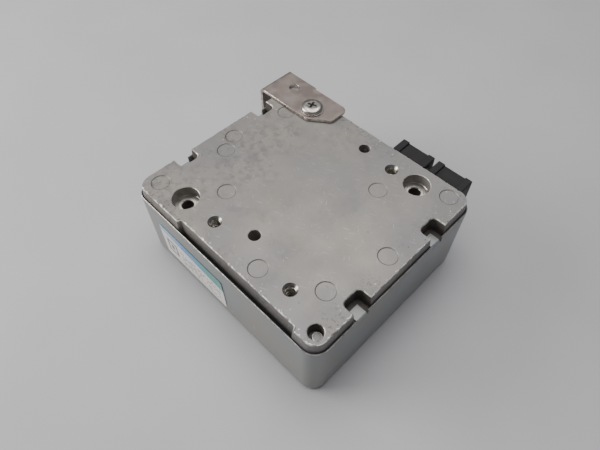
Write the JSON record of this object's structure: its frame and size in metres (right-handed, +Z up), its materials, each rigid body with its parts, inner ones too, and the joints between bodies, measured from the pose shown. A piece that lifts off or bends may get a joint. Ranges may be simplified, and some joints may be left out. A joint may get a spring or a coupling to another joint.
{
  "type": "brake controller unit",
  "caption": "Electronic brake controller: cast heat-sink base crimped into a folded steel cover, with a corner mounting bracket and a pair of plug sockets.",
  "frame": {"origin": "middle of the footprint, on the cover's flat face, which is down", "axes": "+Z up through the base's heat-sink face, -Y the label side, +Y the connector side, -X the bracket leg's side"},
  "size_m": [0.1376, 0.1252, 0.0562],
  "materials": {
    "cast_aluminium": "as die-cast, matt, with ejector marks and scratched edges",
    "painted_steel": "grey-green stoved paint on folded sheet, bare at the trimmed rim",
    "bracket_steel": "zinc plated and passivated pressing",
    "bright_steel": "bright zinc plated",
    "connector_plastic": "black glass-filled moulding",
    "seal_rubber": "moulded",
    "label_film": "printed film, satin",
    "terminal_brass": "tin-flashed brass",
    "board_laminate": "glass-epoxy with solder mask",
    "chip_resin": "moulded epoxy",
    "pad_silicone": "silicone sheet",
    "capacitor_sleeve": "shrink sleeve",
    "ferrite": "sintered, matt",
    "enamelled_copper": "enamelled wire",
    "soft_iron": "plated soft iron",
    "relay_plastic": "moulded"
  },
  "bodies": {
    "casing": {"base_casting": "cast_aluminium", "cover_shell": "painted_steel", "rating_label": "label_film", "mounting_bracket": "bracket_steel", "bracket_screw": "bright_steel", "bracket_washer": "bright_steel", "vent_plug": "bright_steel", "perimeter_seal": "seal_rubber", "connector_a_housing": "connector_plastic", "connector_b_housing": "connector_plastic", "connector_a_terminals": "terminal_brass", "connector_b_terminals": "terminal_brass", "main_board": "board_laminate", "board_screw_1": "bright_steel", "board_screw_2": "bright_steel", "board_screw_3": "bright_steel", "board_screw_4": "bright_steel", "clamp_screw_1": "bright_steel", "clamp_screw_2": "bright_steel", "crystal": "bright_steel", "power_transistor_1": "chip_resin", "power_transistor_2": "chip_resin", "power_transistor_3": "chip_resin", "power_transistor_4": "chip_resin", "microcontroller": "chip_resin", "driver_chip_1": "chip_resin", "driver_chip_2": "chip_resin", "thermal_pad": "pad_silicone", "clamp_bar": "soft_iron", "capacitor_1": "capacitor_sleeve", "capacitor_2": "capacitor_sleeve", "capacitor_3": "capacitor_sleeve", "choke_core": "ferrite", "choke_winding": "enamelled_copper", "relay_base": "relay_plastic", "relay_yoke": "soft_iron", "relay_core": "soft_iron", "relay_coil": "enamelled_copper", "relay_fixed_contact": "terminal_brass"},
    "relay_arm": {"relay_armature": "soft_iron"}
  },
  "joints": [
    {"name": "relay_armature_hinge", "type": "hinge", "parent": "casing", "child": "relay_arm", "pos_m": [-0.0416, 0.00356, 0.009], "axis": [0, -1, 0], "range_deg": [0, 3.9], "stiffness_Nm_per_rad": 0.04, "springref_deg": -5.73}
  ]
}
